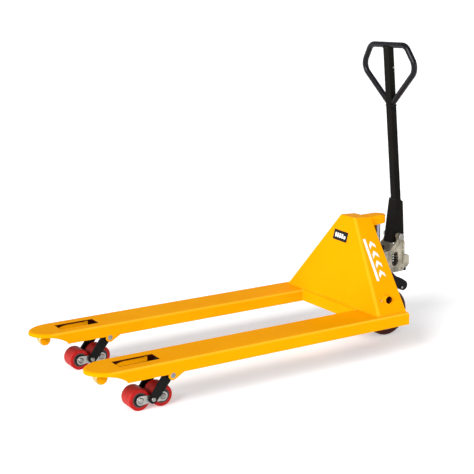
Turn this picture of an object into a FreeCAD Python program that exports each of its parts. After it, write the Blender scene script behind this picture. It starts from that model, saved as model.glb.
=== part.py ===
"""Hand pallet truck, 685 x 1220 mm forks, modelled with its forks raised 91 mm above their lowest.

Frame of the model: +Z up, forks along -Y, origin on the floor at the middle of the outline.
All positions below are given from the foot of the tower's front plate (x 0, y 0, z 0 = floor);
save() moves every piece to the model's origin.  "left" is +X, "right" is -X.
"""
import FreeCAD, Part
import math
import os

V = FreeCAD.Vector
X_AXIS, Z_AXIS = V(1, 0, 0), V(0, 0, 1)
SIDES = (("left", 1), ("right", -1))
os.makedirs("parts", exist_ok=True)

# ---- driving dimensions, mm ----
OVERALL_WIDTH = 685.0
FORK_WIDTH = 160.0
FORK_LENGTH = 1220.0          # tip to the tower's front plate
FORK_TOP = 176.0              # as modelled; 85 when lowered
SKIRT_DEPTH = 47.0
SHEET = 4.0
BEND_RADIUS = 9.0
REAR_END = 137.0              # rear end of the forks behind the tower's front plate
REAR_EXTENT = 398.0           # rearmost point of the whole truck
LIFT_USED = 91.0              # travel from the modelled height down to the lowest
RUN_FIT = 0.05                # radial clearance of a pin in its hole

NOSE_LENGTH = 100.0
NOSE_DEPTH = 14.0
NOTCH_Y = -1096.0
SLOT_WIDTH, SLOT_FRONT, SLOT_REAR = 65.0, -1105.0, -946.0

ARM_PIVOT_Y, ARM_PIVOT_Z = -921.0, 123.0
PIVOT_PIN_R, LUG_R = 10.0, 17.0
BOGIE_Y, BOGIE_Z = -988.0, 40.0
HALF_WHEELBASE = 44.0
LOAD_R, LOAD_WIDTH, LOAD_HUB_R, LOAD_AXLE_R = 40.0, 70.0, 27.0, 10.0
ENTRY_Y, ENTRY_Z, ENTRY_R, ENTRY_WIDTH, ENTRY_CHEEK_R = -1163.0, 139.0, 22.5, 30.0, 18.5

TOWER_HALF_BASE, TOWER_HALF_TOP = 322.0, 49.0
TOWER_TOP, TOWER_LEAN = 518.0, 84.0
TOWER_TOP_REAR_Y, TOWER_TOP_FALL = 164.0, 5.6
TOWER_SHEET = 5.0

SHAFT_Y, SHAFT_Z, SHAFT_R = 74.0, 227.0, 12.5
CRANK_LENGTH, CRANK_TILT = 48.6, 20.15
ARM_CRANK_LENGTH, ARM_CRANK_TILT = 36.0, 27.7
ROCKER_PIN_Y, ROCKER_PIN_Z, ROCKER_PIN_R = 210.0, 218.0, 7.0
ROD_Z, ROD_R = 157.0, 10.0

STEER_Y = 238.0
STEER_R, STEER_WIDTH, STEER_INNER, STEER_HUB_R = 100.0, 50.0, 32.0, 76.0
STEER_AXLE_R = 12.5
RAM_R, CYLINDER_R, NECK_R = 15.0, 42.0, 26.0
CYLINDER_BOTTOM, CYLINDER_TOP = 241.3, 360.0

HANDLE_Y, HANDLE_Z, HANDLE_LEAN = 327.0, 408.0, 4.5
POST_OFFSET, POST_WIDTH, POST_DEPTH, POST_WALL = 23.0, 40.0, 27.0, 3.0
LOOP_TUBE_R, LOOP_TOP = 12.0, 801.0
PLUNGER_Y, PLUNGER_R, SPRING_R, SPRING_WIRE = 348.0, 9.0, 18.5, 4.0

POST_LOW = 62.0
SOCKET_HALF = 29.0
PUSH_REACH, PUSH_R = 34.0, 10.0
PADDLE_LOW, PADDLE_HIGH = 700.0, 784.0
PADDLE_PIVOT_Y, PADDLE_PIVOT = 29.0, 708.0

RIBS_Y = (-820.0, -600.0, -380.0, -160.0)
CROSS_FRONT, CROSS_BACK = -14.0, 46.0
TOWER_BEND = 10.0
BUSH_R, BUSH_IN, BUSH_OUT = 17.0, 258.0, 292.0
SHAFT_HALF = 272.0
RAM_BOTTOM, RAM_TOP = 300.0, 488.0
CAP_HALF, CAP_WALL, CAP_FRONT, CAP_BOTTOM, CAP_TOP, CAP_RISE = 35.0, 6.0, 112.0, 465.0, 508.5, 10.0
LABEL_WIDTH, LABEL_HEIGHT, LABEL_THICK, LABEL_TURN = 94.0, 42.0, 1.0, 2.0
LABEL_X, LABEL_Z = -18.0, 434.0

ROCKER_HUB_R, ROCKER_ARM_X, ROCKER_THICK = 22.0, 62.0, 12.0
CRANK_X, CRANK_THICK, LINK_PIN_R = 236.0, 12.0, 6.0
EYE_R, EYE_HALF, REAR_EYE_Z = 11.0, 12.0, 181.2
ARM_TUBE_HALF, LEG_INNER, LEG_THICK, EAR_X, EAR_THICK = 70.0, 46.0, 8.0, 18.0, 8.0
WEB_REACH, WEB_HALF = 20.5, 17.0
BOGIE_PIN_R, BOGIE_PLATE_X, BOGIE_PLATE = 8.0, 37.5, 6.0

THRUST_HALF_X, THRUST_FRONT, THRUST_LOW, THRUST_HIGH = 58.0, 166.0, 204.0, 232.0
THRUST_SLOT_HALF, THRUST_SLOT_RUN = 10.5, 28.0
NECK_BOTTOM, BORE_BOTTOM = 72.0, 200.0
CAST_LOW, CAST_FLOOR = 256.0, 276.0
CHEEK_IN, CHEEK_OUT, BOSS_R, WINDOW_HALF = 35.0, 43.0, 14.0, 17.0
SPRING_SEAT, BARREL_TOP, CAP_UNDER = 276.0, 312.0, 386.0
RELEASE_Y, RELEASE_Z, RELEASE_PIN_Y, RELEASE_PIN_Z = 302.0, 246.0, 367.0, 173.0

# ---- worked out ----
FORK_X = (OVERALL_WIDTH - FORK_WIDTH) / 2
FORK_HALF = FORK_WIDTH / 2
FORK_BOTTOM = FORK_TOP - SKIRT_DEPTH
TIP_Y = -FORK_LENGTH
ORIGIN_Y = (TIP_Y + REAR_EXTENT) / 2
FAR = 400.0                   # longer than anything that is cut


# ---- helpers ----
def box(x0, x1, y0, y1, z0, z1):
    return Part.makeBox(x1 - x0, y1 - y0, z1 - z0, V(x0, y0, z0))


def rod_x(radius, x0, x1, y, z):
    return Part.makeCylinder(radius, x1 - x0, V(x0, y, z), X_AXIS)


def rod_z(radius, z0, z1, x, y):
    return Part.makeCylinder(radius, z1 - z0, V(x, y, z0), Z_AXIS)


def prism_x(points, x0, x1):
    """Closed outline of (y, z) points, extruded from x0 to x1."""
    wire = Part.makePolygon([V(x0, y, z) for y, z in points] + [V(x0, *points[0])])
    return Part.Face(wire).extrude(V(x1 - x0, 0, 0))


def link_x(a, ra, b, rb, x0, x1):
    """Flat link: two round ends at (y, z) centres a and b, joined by their common tangents."""
    dy, dz = b[0] - a[0], b[1] - a[1]
    span = math.hypot(dy, dz)
    along, lean = math.atan2(dz, dy), math.acos((ra - rb) / span)
    corners = []
    for centre, radius, sign in ((a, ra, 1), (b, rb, 1), (b, rb, -1), (a, ra, -1)):
        angle = along + sign * lean
        corners.append((centre[0] + radius * math.cos(angle), centre[1] + radius * math.sin(angle)))
    body = prism_x(corners, x0, x1)
    return body.fuse([rod_x(ra, x0, x1, *a), rod_x(rb, x0, x1, *b)]).removeSplitter()


def slot_x(centre, reach, radius, angle_deg, x0, x1):
    """Round-ended slot tool of half length `reach` between its end centres."""
    c, s = math.cos(math.radians(angle_deg)), math.sin(math.radians(angle_deg))
    ends = [(centre[0] + k * reach * c, centre[1] + k * reach * s) for k in (-1, 1)]
    return link_x(ends[0], radius, ends[1], radius, x0, x1)


def polar(centre, length, angle_deg):
    a = math.radians(angle_deg)
    return centre[0] + length * math.cos(a), centre[1] + length * math.sin(a)


def cut(body, *tools):
    for tool in tools:
        body = body.cut(tool)
    return body


def bevel(body, size, wanted):
    """Chamfer the edges for which wanted(edge) holds."""
    return body.makeChamfer(size, [e for e in body.Edges if wanted(e)])


def on_circle(radius):
    return lambda e: hasattr(e.Curve, "Radius") and abs(e.Curve.Radius - radius) < 1e-6


def mirrored(shape):
    return shape.mirror(V(0, 0, 0), X_AXIS)


def pair(shape):
    return [shape, mirrored(shape)]


def save(name, *shapes):
    """Write one node: each shape is its own solid."""
    solids = [s for shape in shapes for s in shape.Solids]
    whole = solids[0] if len(solids) == 1 else Part.makeCompound(solids)
    whole = whole.copy()
    whole.translate(V(0, -ORIGIN_Y, 0))
    whole.exportStep("parts/" + name + ".step")


# ---- forks ----
def channel_block(half, nose, z0, z1, radius, y_rear):
    """Solid block with an elliptical nose and a rounded top edge, about x 0."""
    y_start = TIP_Y + NOSE_LENGTH
    tip = Part.Ellipse(V(0, y_start - nose, z0), V(half, y_start, z0), V(0, y_start, z0))
    arc = Part.ArcOfEllipse(tip, -math.pi / 2, math.pi / 2).toShape()
    a, b = V(-half, y_start, z0), V(half, y_start, z0)
    c, d = V(half, y_rear, z0), V(-half, y_rear, z0)
    edges = [arc, Part.makeLine(b, c), Part.makeLine(c, d), Part.makeLine(d, a)]
    block = Part.Face(Part.Wire(edges)).extrude(V(0, 0, z1 - z0))
    rim = [e for e in block.Edges
           if all(abs(v.Z - z1) < 1e-6 for v in e.Vertexes)
           and not all(abs(v.Y - y_rear) < 1e-6 for v in e.Vertexes)]
    return block.makeFillet(radius, rim)


def nose_cut():
    """Everything under the nose: the skirt rises from its full depth to the shallow tip."""
    z_nose = FORK_TOP - NOSE_DEPTH
    start, mid, end = (NOTCH_Y, FORK_BOTTOM + 4), (-1128.0, 152.5), (-1178.0, z_nose)
    low = FORK_BOTTOM - 10
    p = [V(-FAR, *q) for q in (start, mid, end, (TIP_Y - 10, z_nose), (TIP_Y - 10, low), (NOTCH_Y, low))]
    arc = Part.Arc(p[0], p[1], p[2]).toShape()
    lines = [Part.makeLine(a, b) for a, b in ((p[2], p[3]), (p[3], p[4]), (p[4], p[5]), (p[5], p[0]))]
    return Part.Face(Part.Wire([arc] + lines)).extrude(V(2 * FAR, 0, 0))


def fork():
    outer = channel_block(FORK_HALF, NOSE_LENGTH, FORK_BOTTOM, FORK_TOP, BEND_RADIUS, REAR_END)
    inner = channel_block(FORK_HALF - SHEET, NOSE_LENGTH - SHEET, FORK_BOTTOM - 5, FORK_TOP - SHEET,
                          BEND_RADIUS - SHEET, REAR_END + 5)
    roller_slot = box(-SLOT_WIDTH / 2, SLOT_WIDTH / 2, SLOT_FRONT, SLOT_REAR, FORK_TOP - 20, FORK_TOP + 5)
    crank_slot = box(-36, 36, 22, 128, FORK_TOP - 10, FORK_TOP + 5)
    pin_holes = rod_x(PIVOT_PIN_R, -FAR, FAR, ARM_PIVOT_Y, ARM_PIVOT_Z)
    channel = cut(outer, inner, nose_cut(), roller_slot, crank_slot, pin_holes)
    load_part = channel.common(box(-FAR, FAR, TIP_Y - 10, 0, 0, FAR))
    return channel.cut(load_part).fuse(load_part)


def lug(x0):
    """Boss for the arm's pin, hanging from a skirt and tapering back into it."""
    boss = link_x((ARM_PIVOT_Y, ARM_PIVOT_Z), LUG_R, (ARM_PIVOT_Y + 48, FORK_BOTTOM + 9), 6, x0, x0 + SHEET)
    below = box(-FAR, FAR, ARM_PIVOT_Y - 40, ARM_PIVOT_Y + 80, 0, FORK_BOTTOM)
    return boss.common(below).cut(rod_x(PIVOT_PIN_R, -FAR, FAR, ARM_PIVOT_Y, ARM_PIVOT_Z))


def make_forks():
    fork_blank = fork()
    for name, side in SIDES:
        placed = fork_blank.copy()
        placed.translate(V(side * FORK_X, 0, 0))
        save("fork_" + name, placed)


def channel_end(x, inside, y, z_low):
    """Plate across the inside of a fork, its top corners rounded to the fold."""
    plate = box(x - inside, x + inside, y, y + SHEET, z_low, FORK_TOP - SHEET)
    corners = [e for e in plate.Edges
               if all(v.Z > FORK_TOP - SHEET - 1 for v in e.Vertexes) and abs(e.Vertexes[0].Y - e.Vertexes[-1].Y) > 1]
    return plate.makeFillet(BEND_RADIUS - SHEET, corners)


def make_fork_fittings():
    """Lugs, arm pins, stiffeners, end plates and entry-roller brackets under both forks."""
    lugs, pins, plates, brackets = [], [], [], []
    entry = (ENTRY_Y, ENTRY_Z)
    for _, side in SIDES:
        x = side * FORK_X
        lugs += [lug(x - FORK_HALF), lug(x + FORK_HALF - SHEET)]
        pins.append(rod_x(PIVOT_PIN_R, x - FORK_HALF, x + FORK_HALF, ARM_PIVOT_Y, ARM_PIVOT_Z))
        inside, under = FORK_HALF - SHEET, FORK_TOP - SHEET
        plates.append(channel_end(x, inside, REAR_END - SHEET, FORK_BOTTOM))
        for rib_y in RIBS_Y:
            rib = channel_end(x, inside, rib_y, FORK_BOTTOM + 6)
            plates.append(rib.cut(box(x - 17, x + 17, rib_y - 1, rib_y + 9, 0, under - 2)))
        for edge in (-1, 1):
            x0 = x + edge * (ENTRY_WIDTH / 2 + 3) - 2
            cheek = box(x0, x0 + 4, ENTRY_Y - ENTRY_CHEEK_R, ENTRY_Y + ENTRY_CHEEK_R, ENTRY_Z, under)
            cheek = cheek.fuse(rod_x(ENTRY_CHEEK_R, x0, x0 + 4, *entry)).removeSplitter()
            brackets.append(cheek.cut(rod_x(6, -FAR, FAR, *entry)))
        brackets.append(rod_x(6, x - ENTRY_WIDTH / 2 - 7, x + ENTRY_WIDTH / 2 + 7, *entry))
    save("pivot_lugs", *lugs)
    save("arm_pivot_pins", *pins)
    save("fork_stiffeners", *plates)
    save("entry_roller_brackets", *brackets)


def make_cross_plate():
    """Inverted channel that joins the forks under the front plate."""
    half = FORK_X - FORK_HALF
    front, back = CROSS_FRONT, CROSS_BACK
    outer = box(-half, half, front, back, FORK_BOTTOM, FORK_TOP)
    outer = outer.makeFillet(BEND_RADIUS, [e for e in outer.Edges if is_long_top(e, half)])
    inner = box(-half - 1, half + 1, front + SHEET, back - SHEET, FORK_BOTTOM - 1, FORK_TOP - SHEET)
    inner = inner.makeFillet(BEND_RADIUS - SHEET, [e for e in inner.Edges if is_long_top(e, half + 1)])
    save("cross_plate", outer.cut(inner))


def is_long_top(edge, half):
    ends = edge.Vertexes
    return len(ends) == 2 and abs(ends[0].X - ends[1].X) > 2 * half - 1 and ends[0].Z > FORK_TOP - 5


# ---- tower ----
def tower_block(inset, z_base, extra_rear):
    """The tower's tapering block; inset moves every wall inward by that sheet thickness."""
    rise = TOWER_TOP - FORK_TOP
    slope_x = (TOWER_HALF_BASE - TOWER_HALF_TOP) / rise
    slope_y = TOWER_LEAN / rise
    side_inset = inset * math.hypot(1, slope_x)
    front_inset = inset * math.hypot(1, slope_y)

    def half_at(z):
        return TOWER_HALF_BASE - slope_x * (z - FORK_TOP) - side_inset

    def front_at(z):
        return slope_y * (z - FORK_TOP) + front_inset

    z_front = TOWER_TOP - inset
    z_rear = z_front - TOWER_TOP_FALL * (1 + extra_rear / (TOWER_TOP_REAR_Y - TOWER_LEAN))
    rear_low, rear_high = REAR_END + extra_rear, TOWER_TOP_REAR_Y + extra_rear
    corners = []
    for z, y in ((z_base, front_at(z_base)), (z_base, rear_low), (z_rear, rear_high), (z_front, front_at(z_front))):
        corners.append((half_at(z), y, z))
    left = [V(*c) for c in corners]
    right = [V(-c[0], c[1], c[2]) for c in corners]
    faces = [Part.Face(Part.makePolygon(left + left[:1])), Part.Face(Part.makePolygon(right + right[:1]))]
    for i in range(4):
        j = (i + 1) % 4
        quad = [left[i], left[j], right[j], right[i], left[i]]
        faces.append(Part.Face(Part.makePolygon(quad)))
    return Part.makeSolid(Part.makeShell(faces))


def front_corner_edges(block):
    """The two raking edges between the front wall and the side walls."""
    wanted = []
    for e in block.Edges:
        a, b = e.Vertexes[0].Point, e.Vertexes[-1].Point
        raking = abs(a.z - b.z) > 200 and abs(a.x - b.x) > 200
        if raking and min(a.y, b.y) < TOWER_LEAN / 2 and abs(a.y - b.y) > TOWER_LEAN / 2:
            wanted.append(e)
    return wanted


def make_tower():
    outer = tower_block(0, FORK_TOP, 0)
    outer = outer.makeFillet(TOWER_BEND, front_corner_edges(outer))
    inner = tower_block(TOWER_SHEET, FORK_TOP - 1, 10)
    inner = inner.makeFillet(TOWER_BEND - TOWER_SHEET, front_corner_edges(inner))
    shaft_hole = rod_x(BUSH_R, -FAR, FAR, SHAFT_Y, SHAFT_Z)
    shell = cut(outer, inner, shaft_hole)
    save("tower_shell", shell)

    bush = rod_x(BUSH_R, BUSH_IN, BUSH_OUT, SHAFT_Y, SHAFT_Z)
    save("shaft_bushes", *pair(bush.cut(rod_x(SHAFT_R + RUN_FIT, 0, FAR, SHAFT_Y, SHAFT_Z))))

    nipple = rod_x(3, 276, 288, 40, SHAFT_Z).fuse(rod_x(2, 288, 292, 40, SHAFT_Z))
    save("grease_nipples", *pair(nipple.cut(outer)))

    save("top_cap", top_cap().cut(shell))
    ram = rod_z(RAM_R, RAM_BOTTOM, RAM_TOP, 0, STEER_Y)
    save("piston_rod", bevel(ram, 3, on_circle(RAM_R)))
    save("label_plate", label_plate())


def top_cap():
    """Round-nosed bracket behind the tower's top, hollow below, with a seat for the ram."""
    def nose(half, z0, z1):
        block = box(-half, half, CAP_FRONT, STEER_Y, z0, z1)
        return block.fuse(rod_z(half, z0, z1, 0, STEER_Y)).removeSplitter()

    outer = nose(CAP_HALF, CAP_BOTTOM, CAP_TOP)
    rim = [e for e in outer.Edges
           if all(abs(v.Z - CAP_TOP) < 1e-6 for v in e.Vertexes) and max(v.Y for v in e.Vertexes) > CAP_FRONT + 1]
    outer = outer.makeFillet(5, rim)
    nose_y, under = STEER_Y + CAP_HALF, CAP_BOTTOM - 1
    slope = [(CAP_FRONT, CAP_BOTTOM), (nose_y, CAP_BOTTOM + CAP_RISE), (nose_y, under), (CAP_FRONT, under)]
    outer = outer.cut(prism_x(slope, -CAP_HALF, CAP_HALF))
    inner = nose(CAP_HALF - CAP_WALL, CAP_BOTTOM - 1, CAP_TOP - CAP_WALL)
    inner = inner.cut(box(-FAR, FAR, 0, CAP_FRONT + CAP_WALL, 0, FAR * 2))
    seat = rod_z(RAM_R + 5, RAM_TOP - 12, CAP_TOP - CAP_WALL, 0, STEER_Y)
    socket = rod_z(RAM_R, RAM_TOP - 20, RAM_TOP, 0, STEER_Y)
    return outer.cut(inner).fuse(seat).cut(socket).removeSplitter()


def label_plate():
    """Blank capacity plate lying on the front wall, a little off centre."""
    lean = math.degrees(math.atan2(TOWER_LEAN, TOWER_TOP - FORK_TOP))
    plate = box(-LABEL_WIDTH / 2, LABEL_WIDTH / 2, -LABEL_THICK, 0, -LABEL_HEIGHT / 2, LABEL_HEIGHT / 2)
    plate.rotate(V(0, 0, 0), V(0, 1, 0), LABEL_TURN)
    plate.rotate(V(0, 0, 0), X_AXIS, -lean)
    y = TOWER_LEAN * (LABEL_Z - FORK_TOP) / (TOWER_TOP - FORK_TOP)
    plate.translate(V(LABEL_X, y, LABEL_Z))
    return plate


# ---- lifting linkage ----
def make_rocker():
    centre = (SHAFT_Y, SHAFT_Z)
    pin = (ROCKER_PIN_Y, ROCKER_PIN_Z)
    arm = link_x(centre, ROCKER_HUB_R, pin, 12, ROCKER_ARM_X, ROCKER_ARM_X + ROCKER_THICK)
    hub = rod_x(ROCKER_HUB_R, -ROCKER_ARM_X - 6, ROCKER_ARM_X + 6, *centre)
    body = hub.fuse(pair(arm)).removeSplitter()
    save("rocker_arms", body.cut(rod_x(SHAFT_R, -FAR, FAR, *centre)))
    save("torsion_shaft", rod_x(SHAFT_R, -SHAFT_HALF, SHAFT_HALF, *centre))

    crank_pin = polar(centre, CRANK_LENGTH, -90 - CRANK_TILT)
    crank = link_x(centre, 21, crank_pin, 15, CRANK_X, CRANK_X + CRANK_THICK)
    crank = cut(crank, rod_x(SHAFT_R, 0, FAR, *centre), rod_x(LINK_PIN_R, 0, FAR, *crank_pin))
    save("crank_arms", *pair(crank))
    rod_pin = rod_x(LINK_PIN_R, CRANK_X, FORK_X + 14, *crank_pin)
    plate_pin = rod_x(ROCKER_PIN_R, THRUST_HALF_X - 12, ROCKER_ARM_X, *pin)
    save("rocker_pins", *pair(rod_pin), *pair(plate_pin))


def make_push_rod(name, side):
    """Rod in a fork with an eye at each end; the eyes are slotted upright."""
    x = side * FORK_X
    front = polar((ARM_PIVOT_Y, ARM_PIVOT_Z), ARM_CRANK_LENGTH, 90 + ARM_CRANK_TILT)[0]
    rear = polar((SHAFT_Y, SHAFT_Z), CRANK_LENGTH, -90 - CRANK_TILT)[0]
    shank = rod_x(ROD_R, 0, rear - front, 0, 0)
    shank.rotate(V(0, 0, 0), Z_AXIS, 90)
    shank.translate(V(x, front, ROD_Z))
    x0, x1 = x - EYE_HALF, x + EYE_HALF
    front_eye = link_x((front, ROD_Z - 7), EYE_R, (front, ROD_Z + 3), EYE_R, x0, x1)
    rear_eye = link_x((rear, ROD_Z), EYE_R, (rear, REAR_EYE_Z + 4), EYE_R + 1, x0, x1)
    body = shank.fuse([front_eye, rear_eye]).removeSplitter()
    for y, z_mid, reach in ((front, ROD_Z - 2, 3.5), (rear, REAR_EYE_Z, 3.2)):
        body = body.cut(slot_x((y, z_mid), reach, LINK_PIN_R + 1.3, 90, x - FAR, x + FAR))
    save("push_rod_" + name, body)


def make_roller_arm(name, side):
    """Forked arm under a fork: pivot tube, two legs with a web, and two short crank ears."""
    x = side * FORK_X
    pivot, bogie = (ARM_PIVOT_Y, ARM_PIVOT_Z), (BOGIE_Y, BOGIE_Z)
    crank_pin = polar(pivot, ARM_CRANK_LENGTH, 90 + ARM_CRANK_TILT)
    tube = rod_x(16, x - ARM_TUBE_HALF, x + ARM_TUBE_HALF, *pivot)
    parts = [tube]
    for edge in (-1, 1):
        x0 = x + edge * (LEG_INNER + LEG_THICK / 2) - LEG_THICK / 2
        leg = link_x(pivot, 20, bogie, 16, x0, x0 + LEG_THICK)
        spacer = rod_x(12, min(x + edge * LEG_INNER, x + edge * (LEG_INNER - 2)),
                       max(x + edge * LEG_INNER, x + edge * (LEG_INNER - 2)), *bogie)
        ear_x = x + edge * EAR_X - EAR_THICK / 2
        ear = link_x(pivot, 14, crank_pin, 10, ear_x, ear_x + EAR_THICK)
        parts += [leg, spacer, ear]
    along = math.degrees(math.atan2(BOGIE_Z - ARM_PIVOT_Z, BOGIE_Y - ARM_PIVOT_Y))
    web = box(x - LEG_INNER - 1, x + LEG_INNER + 1, 8, WEB_REACH, -WEB_HALF, WEB_HALF)
    web.rotate(V(x, 0, 0), X_AXIS, along)
    web.translate(V(0, *pivot))
    body = parts[0].fuse(parts[1:] + [web]).removeSplitter()
    body = cut(body, rod_x(PIVOT_PIN_R + RUN_FIT, x - FAR, x + FAR, *pivot),
               rod_x(LINK_PIN_R, x - FAR, x + FAR, *crank_pin),
               rod_x(BOGIE_PIN_R, x - FAR, x + FAR, *bogie))
    save("roller_arm_" + name, body)

    pins = [rod_x(LINK_PIN_R, x - EAR_X - EAR_THICK, x + EAR_X + EAR_THICK, *crank_pin)]
    for edge in (-1, 1):
        a, b = x + edge * (LEG_INNER - 9), x + edge * (LEG_INNER + LEG_THICK + 4)
        pins.append(bevel(rod_x(BOGIE_PIN_R, min(a, b), max(a, b), *bogie), 1.5, on_circle(BOGIE_PIN_R)))
    save("arm_pins_" + name, *pins)


def make_bogie(name, side):
    """Two rocker plates that carry the tandem load rollers on two axles."""
    x = side * FORK_X
    axles = [(BOGIE_Y + k * HALF_WHEELBASE, BOGIE_Z) for k in (-1, 1)]
    plates, shafts = [], []
    for edge in (-1, 1):
        x0 = x + edge * (BOGIE_PLATE_X + BOGIE_PLATE / 2) - BOGIE_PLATE / 2
        plate = link_x(axles[0], 17, (BOGIE_Y, BOGIE_Z), 12.5, x0, x0 + BOGIE_PLATE)
        plate = plate.fuse(link_x(axles[1], 17, (BOGIE_Y, BOGIE_Z), 12.5, x0, x0 + BOGIE_PLATE)).removeSplitter()
        plate = plate.cut(rod_x(BOGIE_PIN_R + RUN_FIT, x - FAR, x + FAR, BOGIE_Y, BOGIE_Z))
        plates.append(cut(plate, *[rod_x(LOAD_AXLE_R, x - FAR, x + FAR, *a) for a in axles]))
    half = BOGIE_PLATE_X + BOGIE_PLATE + 1.5
    for a in axles:
        shafts.append(bevel(rod_x(LOAD_AXLE_R, x - half, x + half, *a), 1.5, on_circle(LOAD_AXLE_R)))
    save("bogie_plates_" + name, *plates)
    save("load_axles_" + name, *shafts)


def make_wheel(names, x, y, z, radius, width, hub_r, bore_r, round_edge, hub_extra):
    """Tyre on a hub with a waisted web; names are the tyre's and the hub's nodes."""
    tyre = rod_x(radius, x - width / 2, x + width / 2, y, z)
    tyre = tyre.makeFillet(round_edge, [e for e in tyre.Edges if on_circle(radius)(e)])
    save(names[0], tyre.cut(rod_x(hub_r, x - width, x + width, y, z)))
    hub = rod_x(hub_r, x - width / 2, x + width / 2, y, z)
    rim, boss = hub_r - 6, bore_r + 9
    for edge in (-1, 1):
        a, b = x + edge * (width / 2 - hub_extra), x + edge * (width / 2 + 1)
        ring = rod_x(rim, min(a, b), max(a, b), y, z).cut(rod_x(boss, x - width, x + width, y, z))
        hub = hub.cut(ring)
    save(names[1], hub.cut(rod_x(bore_r + RUN_FIT, x - width, x + width, y, z)))


def make_rollers():
    for name, side in SIDES:
        x = side * FORK_X
        for place, k in (("front", -1), ("rear", 1)):
            tag = place + "_" + name
            make_wheel(("load_tyre_" + tag, "load_hub_" + tag), x, BOGIE_Y + k * HALF_WHEELBASE, BOGIE_Z,
                       LOAD_R, LOAD_WIDTH, LOAD_HUB_R, LOAD_AXLE_R, 4.0, 5.0)
        wheel = rod_x(ENTRY_R, x - ENTRY_WIDTH / 2, x + ENTRY_WIDTH / 2, ENTRY_Y, ENTRY_Z)
        wheel = bevel(wheel, 2, on_circle(ENTRY_R))
        save("entry_roller_" + name, wheel.cut(rod_x(6 + RUN_FIT, x - FAR, x + FAR, ENTRY_Y, ENTRY_Z)))


# ---- steering, pump and wheels ----
def make_thrust_plate():
    """Plate that stays square to the truck while the pump turns in it; the rocker's pins slide in its sides."""
    plate = box(-THRUST_HALF_X, THRUST_HALF_X, THRUST_FRONT, STEER_Y, THRUST_LOW, THRUST_HIGH)
    plate = plate.makeChamfer(8, [e for e in plate.Edges if all(v.Y < STEER_Y for v in e.Vertexes)
                                  and abs(e.Vertexes[0].Z - e.Vertexes[-1].Z) > 5])
    plate = plate.fuse(rod_z(THRUST_HALF_X, THRUST_LOW, THRUST_HIGH, 0, STEER_Y)).removeSplitter()
    plate = plate.cut(rod_z(NECK_R + RUN_FIT, 0, FAR, 0, STEER_Y))
    slot_ends = [(ROCKER_PIN_Y - THRUST_SLOT_RUN, ROCKER_PIN_Z), (ROCKER_PIN_Y + 1, ROCKER_PIN_Z)]
    for side in (-1, 1):
        a, b = side * (THRUST_HALF_X - 14), side * (THRUST_HALF_X + 1)
        plate = plate.cut(link_x(slot_ends[0], THRUST_SLOT_HALF, slot_ends[1], THRUST_SLOT_HALF, min(a, b), max(a, b)))
    save("thrust_plate", plate)
    ring = rod_z(40, THRUST_HIGH, CYLINDER_BOTTOM - 0.3, 0, STEER_Y)
    save("thrust_bearing", ring.cut(rod_z(NECK_R + 1, 0, FAR, 0, STEER_Y)))


def make_pump():
    cylinder = rod_z(CYLINDER_R, CYLINDER_BOTTOM, CYLINDER_TOP, 0, STEER_Y)
    neck = rod_z(NECK_R, NECK_BOTTOM, CYLINDER_BOTTOM, 0, STEER_Y)
    cylinder = cylinder.fuse(neck).removeSplitter()
    cylinder = cut(cylinder, rod_z(RAM_R + RUN_FIT, BORE_BOTTOM, FAR * 2, 0, STEER_Y),
                   rod_x(STEER_AXLE_R, -FAR, FAR, STEER_Y, STEER_R))
    save("pump_cylinder", cylinder)
    gland = rod_z(33, CYLINDER_TOP, CYLINDER_TOP + 12, 0, STEER_Y)
    gland = bevel(gland, 2.5, lambda e: on_circle(33)(e) and e.Vertexes[0].Z > CYLINDER_TOP + 6)
    save("gland_nut", gland.cut(rod_z(RAM_R + RUN_FIT, 0, FAR * 2, 0, STEER_Y)))
    save("pump_casting", pump_casting())
    save("valve_block", valve_block())

    spring = rod_z(SPRING_R, SPRING_SEAT, CAP_UNDER, 0, PLUNGER_Y)
    save("pump_spring", spring.cut(rod_z(SPRING_R - SPRING_WIRE, 0, FAR * 2, 0, PLUNGER_Y)))
    plunger = rod_z(PLUNGER_R, BARREL_TOP - 12, CAP_UNDER, 0, PLUNGER_Y)
    cap = bevel(rod_z(SPRING_R + 1, CAP_UNDER, CAP_UNDER + 10, 0, PLUNGER_Y), 2, on_circle(SPRING_R + 1))
    save("pump_plunger", plunger.fuse(cap).removeSplitter())

    pin = rod_x(10, -CHEEK_OUT - 2, CHEEK_OUT + 2, HANDLE_Y, HANDLE_Z)
    heads = [hexagon_x(11.5, s * (CHEEK_OUT + 2), s * (CHEEK_OUT + 9), HANDLE_Y, HANDLE_Z) for s in (-1, 1)]
    save("handle_pivot_pin", pin.fuse(heads).removeSplitter())

    reach = STEER_INNER + STEER_WIDTH
    axle = rod_x(STEER_AXLE_R, -reach - 6, reach + 6, STEER_Y, STEER_R)
    washer = rod_x(19, reach + 1, reach + 4, STEER_Y, STEER_R).cut(rod_x(STEER_AXLE_R, 0, FAR, STEER_Y, STEER_R))
    nut = hexagon_x(17, reach + 4, reach + 12, STEER_Y, STEER_R)
    nut = nut.cut(rod_x(STEER_AXLE_R, 0, reach + 6, STEER_Y, STEER_R))
    save("steer_axle", axle, *pair(washer), *pair(nut))


def hexagon_x(flat, xa, xb, y, z):
    x0, x1 = min(xa, xb), max(xa, xb)
    radius = flat / math.cos(math.radians(30))
    points = [polar((y, z), radius, 60 * k + 30) for k in range(6)]
    return prism_x(points, x0, x1)


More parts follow.
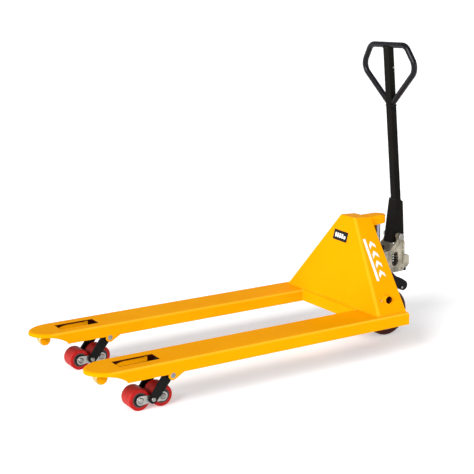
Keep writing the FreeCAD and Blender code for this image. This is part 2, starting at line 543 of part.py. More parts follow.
def pump_casting():
    """Grey casting round the cylinder: floor, front wall and two cheeks that rise to the handle's pivot."""
    outline = [(STEER_Y + 8, CAST_LOW + 8), (STEER_Y + 16, CAST_LOW), (346, CAST_LOW), (355, CAST_LOW + 12),
               (355, 382), (HANDLE_Y + BOSS_R - 1, HANDLE_Z + 5), (HANDLE_Y - BOSS_R, HANDLE_Z),
               (HANDLE_Y - BOSS_R, HANDLE_Z - 18), (276, 353), (STEER_Y + 8, 352)]
    body = prism_x(outline, -CHEEK_OUT, CHEEK_OUT)
    body = body.fuse(rod_x(BOSS_R, -CHEEK_OUT, CHEEK_OUT, HANDLE_Y, HANDLE_Z)).removeSplitter()
    cavity = box(-CHEEK_IN, CHEEK_IN, 284, FAR * 2, CAST_FLOOR, FAR * 2)
    upper = box(-CHEEK_IN, CHEEK_IN, 0, FAR * 2, 352, FAR * 2)
    body = cut(body, cavity, upper)
    bosses = [rod_x(BOSS_R, s0, s1, HANDLE_Y, HANDLE_Z)
              for s0, s1 in ((-CHEEK_IN - 1, -SOCKET_HALF - 1), (SOCKET_HALF + 1, CHEEK_IN + 1))]
    barrel = rod_z(13, CAST_FLOOR - 1, BARREL_TOP, 0, PLUNGER_Y)
    body = body.fuse(bosses + [barrel]).removeSplitter()
    window = link_x((304, 300), WINDOW_HALF, (304, 328), WINDOW_HALF, -FAR, FAR)
    return cut(body, window, rod_z(CYLINDER_R, 0, CYLINDER_TOP, 0, STEER_Y),
               rod_z(33.5, CYLINDER_TOP - 1, FAR * 2, 0, STEER_Y),
               rod_x(10, -FAR, FAR, HANDLE_Y, HANDLE_Z),
               rod_z(PLUNGER_R + RUN_FIT, CAST_LOW + 4, FAR * 2, 0, PLUNGER_Y))


def valve_block():
    """Block with the valves behind the casting's floor."""
    outline = [(355, CAST_LOW + 12), (378, CAST_LOW + 10), (391, CAST_LOW + 22), (391, 314), (386, 319), (355, 319)]
    block = prism_x(outline, -30, 30)
    return cut(block, rod_z(SPRING_R + 2.5, CAST_FLOOR, FAR, 0, PLUNGER_Y),
               rod_z(PLUNGER_R + RUN_FIT, CAST_LOW + 4, CAST_FLOOR, 0, PLUNGER_Y), pump_casting())


def make_steer_wheels():
    for name, side in SIDES:
        x = side * (STEER_INNER + STEER_WIDTH / 2)
        make_wheel(("steer_tyre_" + name, "steer_hub_" + name), x, STEER_Y, STEER_R, STEER_R, STEER_WIDTH,
                   STEER_HUB_R, STEER_AXLE_R, 9.0, 14.0)


def make_release_lever():
    """Curved black lever under the pump that opens the lowering valve."""
    pivot = (RELEASE_Y, RELEASE_Z)
    chain = ((pivot, 10), ((326, 217), 14), ((356, 194), 22), ((REAR_EXTENT - 22, 181), 22))
    links = [link_x(*chain[i], *chain[i + 1], -13, 13) for i in range(3)]
    lever = links[0].fuse(links[1:]).removeSplitter()
    tip_pin = rod_x(5, -17, 17, RELEASE_PIN_Y, RELEASE_PIN_Z)
    save("release_lever", cut(lever, rod_x(6 + RUN_FIT, -FAR, FAR, *pivot), tip_pin))
    save("release_lever_pin", tip_pin)
    lugs = [link_x(pivot, 10, (RELEASE_Y, CAST_LOW + 5), 12, s, s + 6).cut(box(-FAR, FAR, 0, FAR, CAST_LOW, FAR))
            for s in (-20, 14)]
    pin = rod_x(6, -22, 22, *pivot)
    save("release_pivot", *[plate.cut(pin) for plate in lugs], pin)


# ---- handle ----
def place_handle(shape):
    """From the handle's own upright frame (pivot at 0, 0) to its lean on the truck."""
    shape = shape.copy()
    shape.rotate(V(0, 0, 0), X_AXIS, HANDLE_LEAN)
    shape.translate(V(0, HANDLE_Y, HANDLE_Z))
    return shape


def rounded_bar(width, depth, radius, z0, z1, y_mid):
    bar = box(-width / 2, width / 2, y_mid - depth / 2, y_mid + depth / 2, z0, z1)
    return bar.makeFillet(radius, [e for e in bar.Edges if abs(e.Vertexes[0].Z - e.Vertexes[-1].Z) > 1])


def loop_path():
    """Half-hexagon path of the grip: corners rounded by tangent arcs."""
    y = POST_OFFSET
    corners = [(-17, 566), (-174, 709), (-112, LOOP_TOP), (112, LOOP_TOP), (174, 709), (17, 566)]
    bends = [0, 48, 42, 42, 48, 0]
    edges, last = [], V(corners[0][0], y, corners[0][1])
    for i in range(1, 5):
        here = V(corners[i][0], y, corners[i][1])
        back = (V(corners[i - 1][0], y, corners[i - 1][1]) - here).normalize()
        ahead = (V(corners[i + 1][0], y, corners[i + 1][1]) - here).normalize()
        half = back.getAngle(ahead) / 2
        run = bends[i] / math.tan(half)
        a, b = here + back * run, here + ahead * run
        middle = here + (back + ahead).normalize() * (bends[i] / math.sin(half) - bends[i])
        edges += [Part.makeLine(last, a), Part.Arc(a, middle, b).toShape()]
        last = b
    edges.append(Part.makeLine(last, V(corners[5][0], y, corners[5][1])))
    return Part.Wire(edges)


def make_handle():
    path = loop_path()
    start = path.Edges[0].firstVertex().Point
    direction = path.Edges[0].tangentAt(path.Edges[0].FirstParameter)
    ring = Part.Wire(Part.makeCircle(LOOP_TUBE_R, start, direction))
    tube = path.makePipeShell([ring], True, False)
    post_solid = rounded_bar(POST_WIDTH, POST_DEPTH, 5, POST_LOW, LOOP_TOP, POST_OFFSET)
    lower = box(-FAR, FAR, -FAR, FAR, -FAR, 690)
    save("handle_loop", place_handle(tube.cut(post_solid.common(lower))))

    hollow = rounded_bar(POST_WIDTH - 2 * POST_WALL, POST_DEPTH - 2 * POST_WALL, 2.5, POST_LOW - 1, 780, POST_OFFSET)
    bar = rod_x(LOOP_TUBE_R, -FAR, FAR, POST_OFFSET, LOOP_TOP)
    paddle_gap = box(-8.5, 8.5, POST_OFFSET, 60, PADDLE_LOW - 6, PADDLE_HIGH + 3)
    pin_hole = rod_x(3, -FAR, FAR, PADDLE_PIVOT_Y, PADDLE_PIVOT)
    save("handle_post", place_handle(cut(post_solid, hollow, bar, paddle_gap, pin_hole)))

    save("handle_socket", place_handle(handle_socket()))
    roller = rod_x(PUSH_R, -SOCKET_HALF + 6, SOCKET_HALF - 6, PUSH_REACH, 0)
    axle = rod_x(5, -SOCKET_HALF, SOCKET_HALF, PUSH_REACH, 0)
    save("push_roller", place_handle(roller.fuse(axle).removeSplitter()))

    outline = [(PADDLE_PIVOT_Y - 5, PADDLE_LOW), (40, PADDLE_LOW + 12), (40, PADDLE_HIGH - 6),
               (37, PADDLE_HIGH), (PADDLE_PIVOT_Y, PADDLE_HIGH)]
    paddle = prism_x(outline, -7.5, 7.5)
    save("control_lever", place_handle(paddle.cut(rod_x(3 + RUN_FIT, -FAR, FAR, PADDLE_PIVOT_Y, PADDLE_PIVOT))))
    save("control_pin", place_handle(rod_x(3, -POST_WIDTH / 2, POST_WIDTH / 2, PADDLE_PIVOT_Y, PADDLE_PIVOT)))


def handle_socket():
    """Tapering sheet box that holds the post and straddles the plunger."""
    outline = [(-32, -24), (35, -27), (39.5, 136), (36, 146), (9, 158), (6.5, 150)]
    outer = prism_x(outline, -SOCKET_HALF, SOCKET_HALF)
    outer = outer.makeFillet(4, [e for e in outer.Edges if raking_outer(e)])
    inner = prism_x([(-27.5, -40), (30.5, -40), (36.5, 110), (36.5, 200), (9.5, 200), (9.5, 146)],
                    -SOCKET_HALF + 4, SOCKET_HALF - 4)
    rear_gap = box(-SOCKET_HALF + 4, SOCKET_HALF - 4, 0, 60, -60, 30)
    post = rounded_bar(POST_WIDTH, POST_DEPTH, 5, POST_LOW, 300, POST_OFFSET)
    neck = box(-SOCKET_HALF + 4, SOCKET_HALF - 4, -5, 39, 110, 145).cut(post)
    body = cut(outer, inner).fuse(neck.common(outer)).removeSplitter()
    return cut(body, post, rear_gap, rod_x(10 + RUN_FIT, -FAR, FAR, 0, 0), rod_x(5, -FAR, FAR, PUSH_REACH, 0))


def raking_outer(edge):
    a, b = edge.Vertexes[0], edge.Vertexes[-1]
    return abs(a.Z - b.Z) > 100 and abs(a.X - b.X) < 1e-6


make_forks()
make_fork_fittings()
make_cross_plate()
make_tower()
make_rocker()
for side_name, side_sign in SIDES:
    make_push_rod(side_name, side_sign)
    make_roller_arm(side_name, side_sign)
    make_bogie(side_name, side_sign)
make_rollers()
make_thrust_plate()
make_pump()
make_steer_wheels()
make_release_lever()
make_handle()
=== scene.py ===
import math

import bpy
import bmesh
from mathutils import Matrix, Vector, noise


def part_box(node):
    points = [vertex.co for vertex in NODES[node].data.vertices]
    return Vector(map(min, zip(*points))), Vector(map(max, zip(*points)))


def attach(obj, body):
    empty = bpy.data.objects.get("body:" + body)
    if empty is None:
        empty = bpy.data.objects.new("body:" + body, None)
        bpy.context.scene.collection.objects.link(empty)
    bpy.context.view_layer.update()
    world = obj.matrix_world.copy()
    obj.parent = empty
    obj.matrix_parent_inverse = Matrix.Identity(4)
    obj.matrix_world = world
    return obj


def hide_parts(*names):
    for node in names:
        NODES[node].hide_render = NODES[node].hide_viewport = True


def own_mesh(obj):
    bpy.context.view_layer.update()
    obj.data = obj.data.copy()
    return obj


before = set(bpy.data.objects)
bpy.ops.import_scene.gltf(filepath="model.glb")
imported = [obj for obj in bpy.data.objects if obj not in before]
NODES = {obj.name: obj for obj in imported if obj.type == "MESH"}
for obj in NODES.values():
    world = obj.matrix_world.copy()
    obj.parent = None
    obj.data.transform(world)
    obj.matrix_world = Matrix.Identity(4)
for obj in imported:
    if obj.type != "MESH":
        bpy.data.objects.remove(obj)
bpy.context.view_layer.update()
MM = 0.001

# The tower in mm: its half width and height at the foot and at the top, and how far its face leans back.
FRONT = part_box("tower_shell")[0].y
X_FOOT, X_TOP, Z_FOOT, Z_TOP, Y_LEAN = 322.0, 49.0, 176.0, 518.0, 84.0
SLOPE_X, SLOPE_Y = (X_FOOT - X_TOP) / (Z_TOP - Z_FOOT), Y_LEAN / (Z_TOP - Z_FOOT)

# The forks in metres. The nose and the slot are measured back from the tip.
NOSE_LENGTH, SLOT_START, SLOT_END = 0.100, 0.110, 0.280
INSIDE_HALF, INSIDE_NOSE = 0.0765, 0.0965
SLOT_WALL_HALF = 0.0330
SHEET_UNDER, SHEET_NEAR_TOP = 0.1723, 0.1756

# Wheels and bores in metres: outer radius of each tyre, then the radius of its hub.
LOAD_TYRE_RADII = (0.040, 0.027)
STEER_TYRE_RADII = (0.100, 0.076)
BUSH_BORE = 0.0152

# Where the sheets' outer bends begin and end, in metres: off a fork's middle, above the floor, and in from the
# tower's two walls.
# These spans place the painted highlight on the bends.
FORK_BEND_OFF, FORK_BEND_HEIGHT, TOWER_BEND = (0.0705, 0.0735), (0.169, 0.174), (0.007, 0.013)

# Spacing in metres of the rings moulded on a tyre's walls and of the tool marks turned on a hub.
TYRE_RING_PITCH, TOOL_MARK_PITCH = 0.004, 0.0009

# Samples of each rounded-edge lookup in a material.
BEVEL_SAMPLES = 4


def at(x, y, z):
    """A place in mm from the foot of the tower's front plate, as a row-frame point in metres."""
    return Vector((x * MM, FRONT + y * MM, z * MM))


def centre_of(node):
    low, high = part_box(node)
    return (low + high) / 2


# ---------------------------------------------------------------- materials
class Shader:
    """A node material: the methods add a few nodes each and return an output socket."""

    def __init__(self, name):
        self.mat = bpy.data.materials.new(name)
        self.mat.use_nodes = True
        self.tree = self.mat.node_tree
        self.bsdf = self.tree.nodes["Principled BSDF"]
        self.place = self.add("ShaderNodeTexCoord").outputs["Object"]

    def add(self, kind, **settings):
        node = self.tree.nodes.new(kind)
        for key, value in settings.items():
            setattr(node, key, value)
        return node

    def wire(self, source, socket):
        self.tree.links.new(source, socket)

    def put(self, value, socket):
        """Feed a socket from another one, or set it to a colour or a number."""
        if isinstance(value, bpy.types.NodeSocket):
            self.wire(value, socket)
        elif hasattr(value, "__len__"):
            socket.default_value = (*value, 1)
        else:
            socket.default_value = value

    def split(self):
        """The place's X, Y and Z."""
        node = self.add("ShaderNodeSeparateXYZ")
        self.wire(self.place, node.inputs[0])
        return [node.outputs[k] for k in "XYZ"]

    def noise(self, scale, detail=3.0, rough=0.5, stretch=(1, 1, 1)):
        mapping = self.add("ShaderNodeMapping")
        mapping.inputs["Scale"].default_value = stretch
        self.wire(self.place, mapping.inputs["Vector"])
        tex = self.add("ShaderNodeTexNoise")
        tex.inputs["Scale"].default_value = scale
        tex.inputs["Detail"].default_value = detail
        tex.inputs["Roughness"].default_value = rough
        self.wire(mapping.outputs["Vector"], tex.inputs["Vector"])
        return tex.outputs["Fac"]

    def cells(self, scale):
        tex = self.add("ShaderNodeTexVoronoi")
        tex.inputs["Scale"].default_value = scale
        self.wire(self.place, tex.inputs["Vector"])
        return tex.outputs["Color"]

    def ramp(self, fac, stops):
        """Colours or greys at a list of positions, straight in between."""
        ramp = self.add("ShaderNodeValToRGB")
        while len(ramp.color_ramp.elements) < len(stops):
            ramp.color_ramp.elements.new(0.5)
        for element, (pos, colour) in zip(ramp.color_ramp.elements, stops):
            element.position = pos
            element.color = (*colour, 1) if hasattr(colour, "__len__") else (colour, colour, colour, 1)
        self.wire(fac, ramp.inputs["Fac"])
        return ramp.outputs["Color"]

    def between(self, fac, low, high, start=0.0, end=1.0):
        """From start to end as fac goes from low to high."""
        return self.ramp(fac, [(low, start), (high, end)])

    def over(self, length, limits, scale, start=0.0, end=1.0):
        """From start to end between two lengths. A ramp has few steps, so scale brings them well apart on it."""
        low, high = limits
        return self.between(self.times(length, scale), low * scale, high * scale, start, end)

    def spread(self, fac, limits):
        """A noise brought to a range of roughness."""
        return self.between(fac, 0.3, 0.7, *limits)

    def mix(self, fac, a, b):
        node = self.add("ShaderNodeMix", data_type="RGBA")
        for value, socket in ((fac, node.inputs[0]), (a, node.inputs[6]), (b, node.inputs[7])):
            self.put(value, socket)
        return node.outputs[2]

    def math(self, op, a, b=0.0):
        node = self.add("ShaderNodeMath", operation=op)
        self.put(a, node.inputs[0])
        self.put(b, node.inputs[1])
        return node.outputs[0]

    def times(self, a, b):
        return self.math("MULTIPLY", a, b)

    def minus(self, a, b):
        return self.math("SUBTRACT", a, b)

    def radius(self, centre):
        """Distance in metres from a line along X through centre."""
        shift = self.add("ShaderNodeVectorMath", operation="SUBTRACT")
        self.wire(self.place, shift.inputs[0])
        shift.inputs[1].default_value = centre
        flat = self.add("ShaderNodeVectorMath", operation="MULTIPLY")
        self.wire(shift.outputs[0], flat.inputs[0])
        flat.inputs[1].default_value = (0, 1, 1)
        length = self.add("ShaderNodeVectorMath", operation="LENGTH")
        self.wire(flat.outputs[0], length.inputs[0])
        return length.outputs["Value"]

    def fork_shade_mask(self, middle, nose, slot_front, slot_rear):
        """1 for painted shade under a fork's top sheet and on the walls of its roller slot; middle is the fork's
        x.
        """
        x, y, z = self.split()
        off = self.math("ABSOLUTE", self.minus(x, middle))
        ahead = self.math("MAXIMUM", self.minus(nose, y), 0.0)
        across, along_nose = (self.math("POWER", self.math("DIVIDE", part, limit), 2.0)
                              for part, limit in ((off, INSIDE_HALF), (ahead, INSIDE_NOSE)))
        inner = self.math("LESS_THAN", self.math("ADD", across, along_nose), 1.0)
        under = self.times(inner, self.math("LESS_THAN", z, SHEET_UNDER))
        walls = self.times(self.math("LESS_THAN", off, SLOT_WALL_HALF),
                           self.math("LESS_THAN", z, SHEET_NEAR_TOP))
        along = self.times(self.math("GREATER_THAN", y, slot_front), self.math("LESS_THAN", y, slot_rear))
        return self.math("MAXIMUM", under, self.times(walls, along))

    def fork_highlight_mask(self, middle):
        """1 on the rounded long edges of a fork's top sheet, where a painted highlight goes."""
        x, _, z = self.split()
        off = self.math("ABSOLUTE", self.minus(x, middle))
        return self.times(self.over(off, FORK_BEND_OFF, 10.0), self.over(z, FORK_BEND_HEIGHT, 5.0))

    def tower_highlight_mask(self):
        """1 on the rounded raking edges between the tower's front wall and its sides, where a painted highlight
        goes.
        """
        x, y, z = self.split()
        rise = self.minus(z, Z_FOOT * MM)
        reach = self.minus(X_FOOT * MM, self.times(rise, SLOPE_X))
        from_side = self.minus(reach, self.math("ABSOLUTE", x))
        from_front = self.minus(y, self.math("ADD", self.times(rise, SLOPE_Y), FRONT))
        return self.times(*(self.over(gap, TOWER_BEND, 20.0, 1.0, 0.0) for gap in (from_side, from_front)))

    def edges(self, size):
        """About 0 on flat places and towards 1 on outer and inner edges, from a rounded normal."""
        soft = self.add("ShaderNodeBevel", samples=BEVEL_SAMPLES)
        soft.inputs["Radius"].default_value = size
        hard = self.add("ShaderNodeNewGeometry")
        dot = self.add("ShaderNodeVectorMath", operation="DOT_PRODUCT")
        self.wire(soft.outputs["Normal"], dot.inputs[0])
        self.wire(hard.outputs["Normal"], dot.inputs[1])
        return self.minus(1.0, dot.outputs["Value"])

    def finish(self, colour, rough, bumps=(), bevel=0.0008, metal=0.0, coat=0.0, spec=0.5):
        """Wire the shader up; each bump is a height, a strength and a distance."""
        self.wire(colour, self.bsdf.inputs["Base Color"])
        self.wire(rough, self.bsdf.inputs["Roughness"])
        for socket, value in (("Metallic", metal), ("Coat Weight", coat), ("Coat Roughness", 0.1),
                              ("Specular IOR Level", spec)):
            self.bsdf.inputs[socket].default_value = value
        normal = None
        if bevel:
            node = self.add("ShaderNodeBevel", samples=BEVEL_SAMPLES)
            node.inputs["Radius"].default_value = bevel
            normal = node.outputs["Normal"]
        for height, strength, distance in bumps:
            bump = self.add("ShaderNodeBump")
            bump.inputs["Strength"].default_value = strength
            bump.inputs["Distance"].default_value = distance
            self.wire(height, bump.inputs["Height"])
            if normal:
                self.wire(normal, bump.inputs["Normal"])
            normal = bump.outputs["Normal"]
        if normal:
            self.wire(normal, self.bsdf.inputs["Normal"])
        return self.mat


SHADOW_BROWN = (0.085, 0.014, 0.006)
# Near black, for grime on the hubs and for their seal band, which is also painted shade.
SOOT_AND_SHADE = (0.02, 0.02, 0.02)


def painted(name, base, deep, rub_and_highlight, gloss=(0.26, 0.38), rub_amount=0.35, peel=0.05, spec=0.002,
            bevel=0.0012, dark=None, bend_highlight=None, bend_highlight_amount=0.75):
    """Sprayed enamel: slow colour drift, orange-peel ripple, faint scuffs and lighter rubbed edges.

    Two optional functions of the shader pick out insides for painted shade and rounded bends for a painted
    highlight.
    """
    s = Shader(name)
    drift = s.between(s.noise(5, 4), 0.35, 0.65, deep, base)
    scuff = s.between(s.noise(26, 5, 0.6, (1, 0.2, 1)), 0.50, 0.85)
    worn = s.between(s.edges(0.0016), 0.10, 0.45)
    patchy = s.times(worn, s.between(s.noise(60, 5), 0.42, 0.60))
    colour = s.mix(s.times(patchy, rub_amount), drift, rub_and_highlight)
    colour = s.mix(s.times(scuff, 0.06), colour, rub_and_highlight)
    # Painted highlight: the rounded bends are lightened towards the rub colour.
    if bend_highlight:
        colour = s.mix(s.times(bend_highlight(s), bend_highlight_amount), colour, rub_and_highlight)
    # Painted shade: the picked insides are turned shadow brown.
    if dark:
        colour = s.mix(dark(s), colour, SHADOW_BROWN)
    rough = s.spread(s.noise(35, 5), gloss)
    rough = s.mix(s.times(scuff, 0.3), rough, (0.5, 0.5, 0.5))
    ripple = s.noise(420, 2)
    return s.finish(colour, rough, [(ripple, peel, 0.0004)], bevel, spec=spec)


def cast(name, base, deep, rough_range, metal=0.0, grain=0.35, spec=0.4):
    """Sand-cast metal: granular skin, darker pits and a smoother worn edge."""
    s = Shader(name)
    grit = s.noise(520, 6, 0.65)
    pits = s.between(s.noise(170, 4, 0.6), 0.30, 0.45)
    colour = s.mix(pits, deep, s.between(s.noise(24, 4), 0.35, 0.62, deep, base))
    worn = s.between(s.edges(0.0014), 0.08, 0.4)
    colour = s.mix(s.times(worn, 0.45), colour, [min(1, c * 1.6) for c in base])
    bumps = [(grit, grain, 0.0006), (pits, 0.25, 0.0005)]
    return s.finish(colour, s.spread(grit, rough_range), bumps, 0.0014, metal=metal, spec=spec)


def machined(name, base, deep, rough_range, stretch=(6, 1, 1), streak=(1, 1, 1)):
    """Turned or ground steel: fine tool lines, a little staining and bright edges."""
    s = Shader(name)
    lines = s.noise(700, 4, 0.6, stretch)
    stain = s.noise(40, 5, 0.6, streak)
    colour = s.mix(s.between(stain, 0.40, 0.72), base, deep)
    return s.finish(colour, s.spread(lines, rough_range), [(lines, 0.18, 0.0002)], 0.0006, metal=1.0)


def zinc(name):
    """Zinc-plated plate with a soft spangle."""
    s = Shader(name)
    spangle = s.between(s.cells(220), 0.2, 0.9, 0.0, 0.5)
    colour = s.mix(spangle, (0.48, 0.485, 0.465), (0.16, 0.165, 0.155))
    worn = s.between(s.edges(0.001), 0.1, 0.5)
    colour = s.mix(s.times(worn, 0.4), colour, (0.8, 0.8, 0.8))
    rough = s.spread(s.noise(160, 4), (0.26, 0.42))
    return s.finish(colour, rough, [(s.noise(600, 3), 0.12, 0.0002)], metal=1.0)


def tyre(name, centre, radii, base, deep, dust, rough_range):
    """Cast tyre: moulded rings on its walls, a tread rubbed dull and dusty, and painted shade next to the hub.
    """
    s = Shader(name)
    outer, inner = radii
    r = s.radius(centre)
    tread = s.between(s.math("DIVIDE", r, outer), 0.955, 0.995)
    mottled = s.between(s.noise(60, 4), 0.35, 0.65, deep, base)
    # Painted shade: the wall is darkened next to the hub.
    lip = s.between(s.math("DIVIDE", r, inner), 1.0, 1.05, 1.0, 0.0)
    colour = s.mix(s.times(lip, 0.55), mottled, [c * 0.35 for c in deep])
    grime = s.times(tread, s.between(s.noise(120, 6, 0.7), 0.40, 0.75, 0.05, 0.55))
    colour = s.mix(grime, colour, dust)
    rough = s.spread(s.noise(90, 4), rough_range)
    rough = s.mix(s.times(tread, 0.6), rough, (0.62, 0.62, 0.62))
    rings = s.times(s.math("SINE", s.times(r, 2 * math.pi / TYRE_RING_PITCH)), s.minus(1.0, tread))
    bumps = [(rings, 0.10, 0.0003), (s.noise(800, 3), 0.12, 0.0002)]
    return s.finish(colour, rough, bumps, 0.001, coat=0.05, spec=0.12)


def hub(name, centre, stops, metal):
    """Wheel hub coloured by radius: bearing rings near the axle, a dark seal band that is also painted shade,
    then the casting.
    """
    s = Shader(name)
    r = s.radius(centre)
    rings = s.ramp(s.times(r, 10.0), stops)
    grit = s.noise(300, 5, 0.6)
    colour = s.mix(s.between(grit, 0.35, 0.7, 0.0, 0.35), rings, SOOT_AND_SHADE)
    rough = s.spread(s.noise(150, 4), (0.28, 0.5))
    turned = s.math("SINE", s.times(r, 2 * math.pi / TOOL_MARK_PITCH))
    return s.finish(colour, rough, [(turned, 0.06, 0.0002), (grit, 0.15, 0.0003)], metal=metal)


def printed(name, base, deep, rough_range):
    """Printed film: almost even ink, with faint mottling and tiny scratches."""
    s = Shader(name)
    colour = s.between(s.noise(120, 5), 0.35, 0.65, deep, base)
    scratch = s.between(s.noise(200, 6, 0.7, (1, 8, 1)), 0.62, 0.75)
    rough = s.between(scratch, 0.0, 1.0, *rough_range)
    return s.finish(colour, rough, [(scratch, 0.08, 0.0001)], 0.0003, spec=0.1)


# Enamel: base, darker drift, and a lighter colour for rubbed edges that also paints the highlight on bends.
ENAMEL = ((0.93, 0.375, 0.001), (0.90, 0.345, 0.001), (0.97, 0.52, 0.03))
YELLOW = painted("yellow_enamel", *ENAMEL)
WELD_YELLOW = painted("yellow_over_weld", (0.92, 0.45, 0.006), (0.84, 0.36, 0.003), (0.97, 0.62, 0.14),
                      rub_amount=0.6, bevel=0)
BLACK = painted("black_enamel", (0.005, 0.005, 0.008), (0.003, 0.003, 0.005), (0.05, 0.05, 0.06),
                gloss=(0.22, 0.32), rub_amount=0.15, peel=0.06, spec=0.22)
POST_BLACK = painted("black_enamel_post", (0.007, 0.006, 0.004), (0.004, 0.0035, 0.003), (0.04, 0.037, 0.03),
                     gloss=(0.34, 0.48), rub_amount=0.15, peel=0.08, spec=0.05)
CAST_BLACK = cast("black_cast_iron", (0.006, 0.0058, 0.0055), (0.003, 0.003, 0.003), (0.40, 0.60),
                  grain=0.3, spec=0.12)
PUMP_GREY = cast("grey_cast_pump", (0.47, 0.43, 0.335), (0.19, 0.173, 0.13), (0.30, 0.52), metal=0.55)
STEEL = machined("turned_steel", (0.66, 0.66, 0.65), (0.36, 0.35, 0.33), (0.20, 0.38))
PIN_STEEL = machined("pin_steel", (0.38, 0.375, 0.36), (0.12, 0.117, 0.11), (0.24, 0.40))
PASSIVATED = machined("yellow_passivated_steel", (0.88, 0.66, 0.26), (0.48, 0.30, 0.08), (0.22, 0.38))
CHROME = machined("chromed_rod", (0.36, 0.37, 0.43), (0.03, 0.03, 0.05), (0.05, 0.14),
                  stretch=(1, 1, 9), streak=(6, 6, 0.05))
SPRING = machined("spring_wire", (0.16, 0.155, 0.15), (0.07, 0.065, 0.06), (0.28, 0.45), stretch=(1, 1, 1))
ZINC = zinc("zinc_plate")
# Near-black shaft: painted shade of the bush bore that its end sits back in.
SHAFT_SHADE_BLACK = cast("shaft_painted_shade", (0.020, 0.014, 0.010), (0.010, 0.008, 0.006), (0.35, 0.5), grain=0.1)
BRASS = machined("plated_nipple", (0.80, 0.66, 0.38), (0.5, 0.38, 0.2), (0.2, 0.35))
LABEL_BLACK = printed("label_black", (0.016, 0.014, 0.012), (0.010, 0.009, 0.008), (0.25, 0.5))
LABEL_WHITE = printed("label_white", (0.90, 0.89, 0.85), (0.80, 0.79, 0.75), (0.3, 0.55))

# Tyre colours: plain, darker patches, and the dust on the tread.
RED = ((0.74, 0.016, 0.014), (0.64, 0.012, 0.011), (0.64, 0.060, 0.040))
MAROON = ((0.105, 0.014, 0.006), (0.060, 0.008, 0.004), (0.14, 0.035, 0.018))

# Hub colours by radius in decimetres: bearing ring, dark seal, casting.
# The dark seal band, and the near-black casting on the load hubs, are also painted shade of the hub's recess.
LOAD_HUB = [(0.0, (0.70, 0.70, 0.68)), (0.135, (0.72, 0.72, 0.70)), (0.15, SOOT_AND_SHADE),
            (0.20, (0.03, 0.03, 0.03)), (0.225, (0.055, 0.053, 0.05))]
STEER_HUB = [(0.0, (0.70, 0.70, 0.68)), (0.17, (0.70, 0.70, 0.68)), (0.19, SOOT_AND_SHADE),
             (0.24, (0.03, 0.03, 0.03)), (0.26, (0.15, 0.148, 0.145))]


def dress(material, *names):
    """Give carried-over nodes a material."""
    for name in names:
        mesh = NODES[name].data
        mesh.materials.clear()
        mesh.materials.append(material)


def dress_fork(node):
    """Enamel: painted highlight on the long bends, painted brown shade inside the channel and on the slot's
    walls.
    """
    tip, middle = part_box(node)[0].y, centre_of(node).x
    inside = (middle, tip + NOSE_LENGTH, tip + SLOT_START, tip + SLOT_END)
    dress(painted("yellow_enamel_" + node, *ENAMEL, dark=lambda s: s.fork_shade_mask(*inside),
                  bend_highlight=lambda s: s.fork_highlight_mask(middle)), node)


def dress_chassis():
    """Yellow pieces with their own painted highlight on bends or painted shade inside."""
    for side in ("left", "right"):
        dress_fork("fork_" + side)
    # Painted highlight on the tower's raking bends, lighter than on the forks.
    dress(painted("yellow_enamel_tower", *ENAMEL, bend_highlight=lambda s: s.tower_highlight_mask(), bend_highlight_amount=0.30),
          "tower_shell")
    # Painted shade: the bushes' bores are turned shadow brown.
    shaft = centre_of("shaft_bushes")
    dress(painted("yellow_enamel_bushes", *ENAMEL,
                  dark=lambda s: s.math("LESS_THAN", s.radius(shaft), BUSH_BORE)), "shaft_bushes")
    # Painted shade: the stiffeners are shadow brown except on their rear end face.
    end_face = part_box("fork_stiffeners")[1].y - 0.5 * MM
    dress(painted("yellow_enamel_ribs", *ENAMEL,
                  dark=lambda s: s.math("LESS_THAN", s.split()[1], end_face)), "fork_stiffeners")


def dress_wheels():
    """Tyres and hubs shaded about their own axles."""
    for side in ("left", "right"):
        for end in ("front", "rear"):
            tag = end + "_" + side
            centre = centre_of("load_hub_" + tag)
            dress(tyre("red_tyre_" + tag, centre, LOAD_TYRE_RADII, *RED, (0.26, 0.40)), "load_tyre_" + tag)
            dress(hub("load_hub_metal_" + tag, centre, LOAD_HUB, 0.7), "load_hub_" + tag)
        dress(PASSIVATED, "entry_roller_" + side)
        centre = centre_of("steer_hub_" + side)
        dress(tyre("steer_tyre_cover_" + side, centre, STEER_TYRE_RADII, *MAROON, (0.30, 0.44)),
              "steer_tyre_" + side)
        dress(hub("steer_hub_metal_" + side, centre, STEER_HUB, 0.4), "steer_hub_" + side)


dress_chassis()
dress_wheels()
for material, nodes in (
    (YELLOW, "cross_plate top_cap pivot_lugs entry_roller_brackets"),
    (BRASS, "grease_nipples"),
    (LABEL_BLACK, "label_plate"),
    (CHROME, "piston_rod"),
    (PIN_STEEL, "arm_pivot_pins rocker_pins arm_pins_left arm_pins_right load_axles_left load_axles_right"),
    (PIN_STEEL, "handle_pivot_pin release_lever_pin control_pin"),
    (SHAFT_SHADE_BLACK, "torsion_shaft"),
    (STEEL, "steer_axle push_roller thrust_bearing pump_plunger"),
    (BLACK, "handle_loop"),
    (POST_BLACK, "handle_post handle_socket control_lever"),
    (CAST_BLACK, "rocker_arms crank_arms push_rod_left push_rod_right roller_arm_left roller_arm_right"),
    (CAST_BLACK, "thrust_plate gland_nut release_lever release_pivot"),
    (ZINC, "bogie_plates_left bogie_plates_right"),
    (PUMP_GREY, "pump_cylinder pump_casting valve_block"),
):
    dress(material, *nodes.split())


# ---------------------------------------------------------------- mesh helpers
X_AXIS, Y_AXIS, Z_AXIS = Vector((1, 0, 0)), Vector((0, 1, 0)), Vector((0, 0, 1))
BEAD_SAMPLE, BEAD_SIDES, BEAD_SWELL = 0.0010, 8, 0.13
LUMP_POINTS, LUMP_GRAIN = 4, 300


